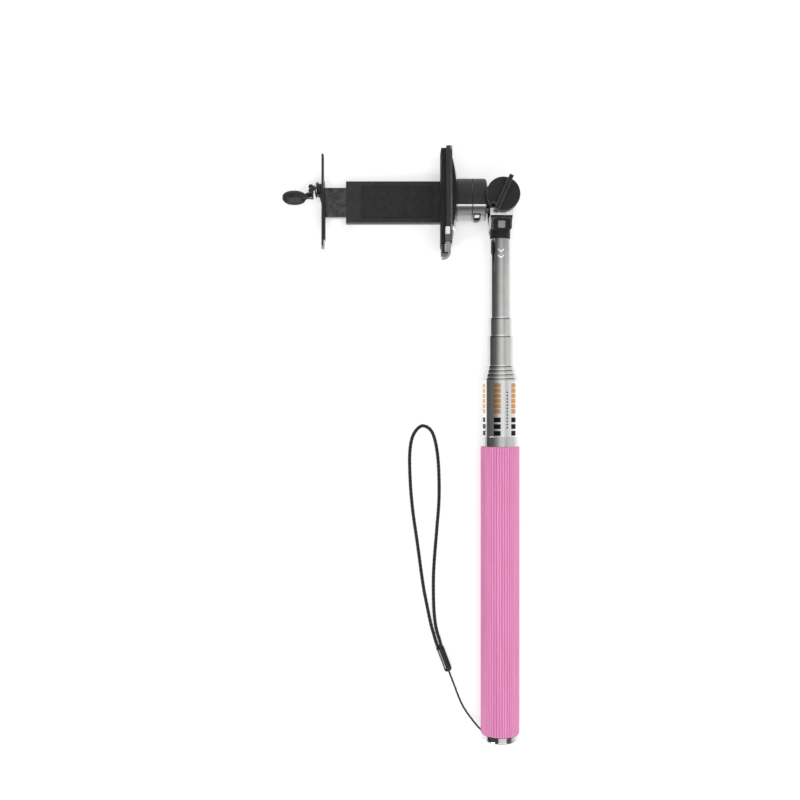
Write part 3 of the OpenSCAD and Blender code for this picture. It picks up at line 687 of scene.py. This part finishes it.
def backbone_metal():
    """Dark nickel plate with a polished rolled end, and a tip under the dome with a painted dark
    reflection below a painted highlight.
    """
    made = Shader("backbone_metal", (0.36, 0.36, 0.37), 0.12, 1.0)
    x, y, _ = made.stick_axes()
    lines = made.noise(3.0, stretch=(1, 0.05, 1), detail=6.0)
    plate = made.ramp(lines, [(0.3, (0.28, 0.28, 0.285)), (0.7, (0.42, 0.42, 0.425))])
    rolled = made.within(y, 0.0, ROLLED_BELOW, 0.4)
    colour = made.mix(rolled, plate, (0.85, 0.85, 0.86))
    tip = made.within(x, TIP_FROM_X, 0.0, 0.3)
    # Painted dark reflection on the tip, with a painted highlight above it.
    black = made.math("MULTIPLY", tip, made.within(y, TIP_Y[0], TIP_DARK_REFLECTION_BELOW, 0.3))
    bright = made.math("MULTIPLY", tip, made.within(y, TIP_DARK_REFLECTION_BELOW, TIP_Y[1], 0.3))
    colour = made.mix(black, colour, (0.02, 0.02, 0.02))
    made.colour_from(made.mix(bright, colour, (0.80, 0.80, 0.80)))
    made.vary_roughness(lines, 0.05)
    made.bump(lines, 0.001)
    return made.material


def catch_metal():
    """Cast metal, a little dull, with a near-white colour that is partly its own brightness and
    partly a painted highlight, and a dark band on its slope.
    """
    made = Shader("catch_metal", (0.95, 0.95, 0.95), 0.25, 0.25)
    _, y, _ = made.stick_axes()
    stains = made.noise(1.5, detail=6.0)
    # Near white: partly the metal's own brightness, partly a painted highlight.
    cast = made.ramp(stains, [(0.3, (0.88, 0.88, 0.88)), (0.7, (0.98, 0.98, 0.98))])
    foot = made.mix(made.within(y, 240.0, CATCH_DARK_Y[0], 0.3), cast, (0.34, 0.34, 0.34))
    slope = made.within(y, *CATCH_DARK_Y, 0.3)
    made.colour_from(made.mix(slope, foot, (0.10, 0.10, 0.10)))
    made.vary_roughness(made.noise(3.0, detail=6.0), 0.08)
    made.bump(made.noise(6.0), 0.004)
    return made.material


# The arm's metal is bright above this Y, counted from the pivot: partly a polished finish, partly a
# painted highlight
POLISHED_AND_HIGHLIGHT_ABOVE = -4.6


def turned_metal():
    """Satin metal with turned rings and a speckled grain, and a bright band along the cover's edge
    that is partly polish and partly a painted highlight.
    """
    made = Shader("satin_metal", (0.40, 0.40, 0.41), 0.20, 1.0)
    _, y, _ = made.stick_axes()
    speckle = made.noise(2.6, detail=8.0, roughness=0.85)
    satin = made.ramp(speckle, [(0.3, (0.26, 0.26, 0.265)), (0.7, (0.62, 0.62, 0.625))])
    height = made.math("SUBTRACT", y, PIVOT_Y)
    polished = made.within(height, POLISHED_AND_HIGHLIGHT_ABOVE, 20.0, 0.5)
    # Bright band: partly polished metal, partly a painted highlight.
    made.colour_from(made.mix(polished, satin, (0.95, 0.95, 0.95)))
    rings = made.noise(5.0, stretch=(1, 0.02, 0.02), detail=5.0)
    made.vary_roughness(rings, 0.06)
    made.bump(rings, 0.003)
    return made.material


def lined_plastic():
    """Black cover with fine lines round the arm."""
    made = Shader("shell_black", (0.025, 0.025, 0.026), 0.45, Specular_IOR_Level=0.32)
    made.vary_colour(made.noise(0.4), 0.85, 1.2)
    lines = made.noise(4.0, stretch=(1, 0.01, 0.01), detail=3.0)
    made.vary_roughness(lines, 0.08)
    made.bump(lines, 0.012)
    made.bump(made.noise(9.0, detail=2.0), 0.006)
    return made.material


# The film on the widest tube. Its bars and dots stand at these angles in degrees round the tube,
# with 0 on top. A pitch is the length of one block and its gap, and a share is the block's part.
LABEL_Y = (153.0, 181.2)
BAR_ANGLES = (-134, -74, -15, 45, 105, 165)
BAR_HALF_ANGLE = 11.5
ORANGE_Y, ORANGE_PITCH, ORANGE_SHARE = (164.4, 179.8), 2.57, 0.84
DARK_Y, DARK_PITCH, DARK_SHARE = (153.4, 163.4), 3.33, 0.72
DOT_ANGLES = (18.5, -161.5)
DOT_Y, DOT_PITCH, DOT_SHARE = (157.0, 176.5), 1.6, 0.5
DOT_HALF_ANGLE = 3.0


def labelled_tube():
    """Drawn steel with a bright film round it, which carries plain rows of printed bars."""
    made = Shader("labelled_tube", (0.74, 0.74, 0.73), 0.13, 1.0)
    x, y, z = made.stick_axes()
    lines = made.noise(3.0, stretch=(1, 0.02, 1), detail=6.0, roughness=0.7)
    drawn = made.ramp(made.noise(0.2), [(0.3, (0.70, 0.70, 0.69)), (0.7, (0.76, 0.76, 0.75))])
    angle = made.math("DEGREES", made.math("ARCTAN2", x, z))
    film = made.within(y, *LABEL_Y)
    colour = made.mix(film, drawn, (0.96, 0.96, 0.965))

    def rows(angles, half):
        found = 0.0
        for middle in angles:
            row = made.within(angle, middle - half, middle + half, 0.6)
            found = made.math("MAXIMUM", found, row)
        return found

    def blocks(pitch, share):
        place = made.math("FRACT", made.math("DIVIDE", y, pitch))
        return made.within(place, (1 - share) / 2, (1 + share) / 2, 0.06)
    bars = rows(BAR_ANGLES, BAR_HALF_ANGLE)
    orange = made.math("MULTIPLY", bars, made.within(y, *ORANGE_Y, 0.15))
    orange = made.math("MULTIPLY", orange, blocks(ORANGE_PITCH, ORANGE_SHARE))
    dark = made.math("MULTIPLY", bars, made.within(y, *DARK_Y, 0.15))
    dark = made.math("MULTIPLY", dark, blocks(DARK_PITCH, DARK_SHARE))
    dots = made.math("MULTIPLY", rows(DOT_ANGLES, DOT_HALF_ANGLE), blocks(DOT_PITCH, DOT_SHARE))
    dots = made.math("MULTIPLY", dots, made.within(y, *DOT_Y, 0.1))
    black = made.math("MAXIMUM", dark, made.math("MULTIPLY", dots, 0.8))
    colour = made.mix(orange, colour, (0.78, 0.42, 0.18))
    made.colour_from(made.mix(black, colour, (0.02, 0.02, 0.02)))
    printed = made.math("MAXIMUM", orange, dark)
    made.links.new(made.math("SUBTRACT", 1.0, made.math("MULTIPLY", printed, 0.05)),
                   made.shader.inputs["Metallic"])
    made.vary_roughness(lines, 0.05)
    made.bump(lines, 0.0015)
    made.bump(made.math("MAXIMUM", film, printed), 0.02)
    return made.material


# The clevis's raised band, and the Z of the face that it stands on
BAND_Y = (263.1, 266.6)
BAND_FACE_Z = 9.1


def satin_plate():
    """Dark satin nickel. The clevis's raised band is painted near white as a painted highlight, and
    a painted shadow line runs along its foot.
    """
    made = Shader("satin_plate", (0.17, 0.17, 0.175), 0.24, 1.0)
    _, y, z = made.stick_axes()
    grain = made.noise(0.5, detail=6.0)
    plate = made.ramp(grain, [(0.3, (0.13, 0.13, 0.135)), (0.7, (0.22, 0.22, 0.225))])
    raised = made.within(z, BAND_FACE_Z, 20.0, 0.05)
    band = made.math("MULTIPLY", made.within(y, BAND_Y[0] - 0.2, BAND_Y[1] + 0.2), raised)
    # Painted shadow: a dark line along the band's foot.
    foot = made.math("MULTIPLY", made.within(y, BAND_Y[0] - 0.75, BAND_Y[0] + 0.05, 0.25),
                     made.within(z, 8.0, BAND_FACE_Z, 0.05))
    # Painted highlight: the raised band is near white and less metallic.
    colour = made.mix(band, plate, (0.97, 0.97, 0.97))
    made.colour_from(made.mix(foot, colour, (0.02, 0.02, 0.02)))
    metallic = made.math("SUBTRACT", 1.0, made.math("MULTIPLY", band, 0.7))
    made.links.new(metallic, made.shader.inputs["Metallic"])
    made.vary_roughness(grain, 0.07)
    made.bump(made.noise(4.0, stretch=(1, 0.05, 1), detail=5.0), 0.002)
    return made.material


def grip_rubber():
    """Pink moulded rubber with painted shade in the grooves between the ribs, and streaks, dust and
    wear.
    """
    made = Shader("grip_rubber", (0.75, 0.265, 0.505), 0.52, Specular_IOR_Level=0.35)
    x, _, z = made.stick_axes()
    streaks = made.noise(0.5, stretch=(1, 0.02, 1), detail=5.0, roughness=0.7)
    pale = made.ramp(streaks, [(0.3, (0.655, 0.225, 0.435)), (0.7, (0.815, 0.31, 0.56))])
    turn = made.math("MULTIPLY", made.math("ARCTAN2", x, z), GRIP_RIBS / (2 * math.pi))
    across = made.math("ABSOLUTE", made.math("SUBTRACT", made.math("FRACT", turn), 0.5))
    # Painted shade: the grooves between the ribs are darker.
    groove_shade = made.within(across, 0.40, 1.0, 0.12)
    made.colour_from(made.mix(made.math("MULTIPLY", groove_shade, 0.75), pale, (0.46, 0.10, 0.26)))
    made.vary_roughness(made.noise(0.8, detail=6.0), 0.10)
    made.bump(made.noise(6.0, detail=4.0), 0.012)
    made.set("Subsurface Weight", 0.05)
    made.set("Subsurface Radius", (0.0010, 0.0004, 0.0006))
    return made.material


def cord_fibre():
    """Black nylon yarn with fine fibres and a soft sheen."""
    made = Shader("cord", (0.007, 0.007, 0.0075), 0.50, Sheen_Weight=0.05, Specular_IOR_Level=0.45)
    made.vary_colour(made.noise(2.2, detail=5.0), 0.5, 2.6)
    made.vary_roughness(made.noise(3.0), 0.12)
    made.bump(made.noise(14.0, detail=4.0), 0.02)
    return made.material


def brass():
    """Turned brass, a little dull."""
    made = Shader("brass", (0.66, 0.47, 0.20), 0.24, 1.0)
    made.vary_colour(made.noise(0.8), 0.85, 1.08)
    made.vary_roughness(made.noise(2.0, detail=6.0), 0.08)
    made.bump(made.noise(4.0, stretch=(1, 0.1, 1)), 0.003)
    return made.material


def white_mark():
    """Thick white ink, a little chipped."""
    made = Shader("white_mark", (0.92, 0.92, 0.92), 0.45)
    made.vary_colour(made.noise(3.0, detail=6.0), 0.8, 1.05)
    made.vary_roughness(made.noise(5.0), 0.1)
    made.bump(made.noise(8.0), 0.01)
    return made.material


def pad_rubber():
    """Dull black rubber with a soft uneven grain."""
    made = Shader("pad_rubber", (0.022, 0.022, 0.023), 0.72, Specular_IOR_Level=0.25)
    made.vary_colour(made.noise(0.5), 0.8, 1.25)
    made.vary_roughness(made.noise(1.0), 0.08)
    made.bump(made.noise(3.0, stretch=(1, 1, 0.2), detail=3.0), 0.05)
    return made.material


def make_materials():
    """Every material by its name: the record's slots, and the looks of OWN_LOOK."""
    return {
        "grip_rubber": grip_rubber(),
        "steel_tube": polished_metal("steel_tube", (0.74, 0.74, 0.73), 0.13),
        "labelled_tube": labelled_tube(),
        "chrome": polished_metal("chrome", (0.82, 0.82, 0.83), 0.07, (1, 1, 1), 0.0006),
        "cup_chrome": cup_chrome(),
        "backbone_metal": backbone_metal(),
        "catch_metal": catch_metal(),
        "satin_metal": turned_metal(),
        "satin_plate": satin_plate(),
        "steel": polished_metal("steel", (0.58, 0.58, 0.59), 0.30, (1, 1, 0.1)),
        "brass": brass(),
        "black_plastic": worn_plastic_with_edge_highlight("black_plastic", (0.015, 0.015, 0.016), 0.45,
                                      Specular_IOR_Level=0.3),
        "shell_black": lined_plastic(),
        "jaw_black": worn_plastic_with_edge_highlight("jaw_black", (0.026, 0.026, 0.028), 0.50, 0.02,
                                  Specular_IOR_Level=0.32),
        # The knob's wider, paler edges paint the highlight along its bar, besides wear.
        "knob_black": worn_plastic_with_edge_highlight("knob_black", (0.017, 0.017, 0.018), 0.36, 0.01, (0.5, 0.17),
                                   Specular_IOR_Level=0.3),
        "lever_black": worn_plastic_with_edge_highlight("lever_black", (0.011, 0.011, 0.012), 0.24, 0.004,
                                    Specular_IOR_Level=0.85),
        "gloss_black": worn_plastic_with_edge_highlight("gloss_black", (0.008, 0.008, 0.009), 0.12, 0.001,
                                    Specular_IOR_Level=0.6),
        "pad_rubber": pad_rubber(),
        "white_mark": white_mark(),
        "cord": cord_fibre(),
    }


# ---------------------------------------------------------------- CAD nodes

# Edge rounding in mm on the nodes whose real edges are moulded or machined soft
SOFT_EDGES = {
    "tilt_knob": 0.45, "clevis": 0.3, "tilt_block": 0.4, "fixed_jaw": 0.6, "jaw_backbone": 0.2,
    "fixed_pad": 0.4, "slide_housing": 0.6, "back_cover": 0.2, "back_pad": 0.25, "sliding_jaw": 0.3,
    "sliding_pad": 0.2, "slide_rail": 0.2, "clamp_boss": 0.3, "cam_cup": 0.2, "cam_pin": 0.15,
    "jaw_catch": 0.12, "jaw_hook": 0.15,
    "neck_collar": 0.15, "neck_rivet": 0.12, "jaw_dome": 0.35, "pivot_nut": 0.25, "base_plug": 0.2,
    "slot_liner": 0.1, "set_screw": 0.12, "head_barrel": 0.1, "head_shell": 0.12,
    "clip_barrel": 0.1, "clip_shell": 0.12,
}
SHARP_ABOVE = math.radians(32)
# Nodes that have a look of their own within their material slot
OWN_LOOK = {
    "tube_1": "labelled_tube", "cam_cup": "cup_chrome", "jaw_backbone": "backbone_metal",
    "jaw_catch": "catch_metal",
}


def dress_frame(materials):
    """Gives every CAD node its material and softens its edges."""
    slots = {s["node"]: s["material_slot"] for s in frame["record"]["subparts"]}
    slots.update(OWN_LOOK)
    for name, node in frame["nodes"].items():
        node.data.materials.clear()
        node.data.materials.append(materials[slots[name]])
        if name in SOFT_EDGES:
            bevel = node.modifiers.new("soft_edges", "BEVEL")
            bevel.width = SOFT_EDGES[name] * MM
            bevel.segments = 3
            bevel.limit_method = "ANGLE"
            bevel.angle_limit = SHARP_ABOVE
            bevel.harden_normals = True


# ---------------------------------------------------------------- studio

def make_floor():
    """White floor that gives a little light. Mirrors show the world's cards in its place."""
    size = 3.0
    points = [Vector((x * size, y * size, 0)) for x, y in ((-1, -1), (1, -1), (1, 1), (-1, 1))]
    mesh = bpy.data.meshes.new("floor")
    mesh.from_pydata([tuple(p) for p in points], [], [(0, 1, 2, 3)])
    floor = bpy.data.objects.new("floor", mesh)
    bpy.context.scene.collection.objects.link(floor)
    floor.visible_glossy = False
    made = Shader("floor", (0.64, 0.64, 0.64), 0.8, Specular_IOR_Level=0.1)
    made.set("Emission Color", (1, 1, 1, 1))
    made.set("Emission Strength", 0.46)
    mesh.materials.append(made.material)


def area_light(name, place, target, size, power):
    """A rectangular light that shows in no mirror."""
    data = bpy.data.lights.new(name, "AREA")
    data.shape = "RECTANGLE"
    data.size, data.size_y = size
    data.energy = power
    light = bpy.data.objects.new(name, data)
    light.location = place
    light.rotation_euler = (target - place).to_track_quat("-Z", "Y").to_euler()
    light.visible_glossy = False
    bpy.context.scene.collection.objects.link(light)


def make_world():
    """Soft grey room that the metals mirror.

    It is dark on the left. It has a bright card below the horizon, one past the butt, and a small
    lamp card on the left towards the butt.
    """
    world = bpy.data.worlds.new("studio")
    world.use_nodes = True
    nodes, links = world.node_tree.nodes, world.node_tree.links
    background = nodes["Background"]
    direction = nodes.new("ShaderNodeTexCoord").outputs["Generated"]
    parts = nodes.new("ShaderNodeSeparateXYZ")
    links.new(direction, parts.inputs[0])

    def ramp(value, stops):
        half = nodes.new("ShaderNodeMapRange")
        half.inputs["From Min"].default_value = -1
        links.new(value, half.inputs["Value"])
        made = nodes.new("ShaderNodeValToRGB")
        elements = made.color_ramp.elements
        while len(elements) < len(stops):
            elements.new(0.5)
        for element, (position, level) in zip(elements, stops):
            element.position = (position + 1) / 2
            element.color = (level, level, level, 1)
        links.new(half.outputs["Result"], made.inputs["Fac"])
        return made.outputs["Color"]
    sideways = ramp(parts.outputs["X"], [
        (-1, 0.08), (-0.96, 0.10), (-0.74, 0.13), (-0.43, 0.31), (-0.08, 0.67), (0.28, 0.80),
        (0.60, 0.54), (0.86, 0.71), (1, 0.76)])
    lengthways = ramp(parts.outputs["Y"], [
        (-1, 0.63), (-0.977, 0.55), (-0.914, 0.34), (-0.82, 0.09), (-0.72, 0.12), (-0.64, 1.0),
        (-0.50, 1.0), (-0.43, 0.67), (0.13, 0.67), (0.19, 0.17), (0.35, 0.13), (0.45, 0.9),
        (1, 1.0)])
    flagged = ramp(parts.outputs["X"], [
        (-0.99, 0.5), (-0.95, 0.05), (-0.30, 0.05), (-0.20, 0.70), (0.50, 0.80), (0.60, 0.08),
        (0.86, 0.10), (0.93, 0.6)])
    butt_end = ramp(parts.outputs["Y"], [(-0.30, 1), (-0.24, 0)])

    def blended(kind, factor, a, b):
        made = nodes.new("ShaderNodeMix")
        made.data_type = "RGBA"
        made.blend_type = kind
        if isinstance(factor, bpy.types.NodeSocket):
            links.new(factor, made.inputs["Factor"])
        else:
            made.inputs["Factor"].default_value = factor
        ends = [i for i in made.inputs if i.type == "RGBA"]
        links.new(a, ends[0])
        links.new(b, ends[1])
        return next(o for o in made.outputs if o.type == "RGBA")
    across = blended("MIX", butt_end, sideways, flagged)
    butt_card = blended("MULTIPLY", 1, butt_end, ramp(parts.outputs["Z"], [(-0.08, 0.6), (0, 0)]))
    cards = blended("LIGHTEN", 1, butt_card, ramp(parts.outputs["Z"], [(-0.32, 0.7), (-0.21, 0)]))
    both = blended("MULTIPLY", 1, across, lengthways)
    level = 3.2
    lamp = blended(
        "MULTIPLY", 1,
        ramp(parts.outputs["X"], [(-0.78, 0), (-0.75, level), (-0.58, level), (-0.55, 0)]),
        ramp(parts.outputs["Y"], [(-0.62, 0), (-0.59, level), (-0.46, level), (-0.43, 0)]))
    lit = blended("LIGHTEN", 1, both, lamp)
    links.new(blended("LIGHTEN", 1, lit, cards), background.inputs["Color"])
    background.inputs["Strength"].default_value = 1.5
    bpy.context.scene.world = world


def make_studio():
    middle = (cad_box[0] + cad_box[1]) / 2
    make_floor()
    make_world()
    area_light("overhead", middle + Vector((0.05, 0.0, 1.1)), middle, (0.6, 0.9), 4.6)
    area_light("right", middle + Vector((0.9, -0.2, 0.8)), middle, (0.8, 0.8), 2.0)
    area_light("front", middle + Vector((-0.1, -0.55, 0.95)), middle, (0.7, 0.3), 1.6)
    bpy.context.scene.view_settings.view_transform = "Standard"


# ---------------------------------------------------------------- whole scene

def give(piece, material):
    piece.data.materials.clear()
    piece.data.materials.append(material)


def main():
    make_camera()
    loop, tail, bead = make_strap()
    materials = make_materials()
    for cord in (loop, tail):
        give(cord, materials["cord"])
    give(bead, materials["gloss_black"])
    give(make_lever(), materials["lever_black"])
    give(make_grip(), materials["grip_rubber"])
    give(make_spring(), materials["steel"])
    for chevron in make_chevrons():
        give(chevron, materials["white_mark"])
    dress_frame(materials)
    make_studio()


main()
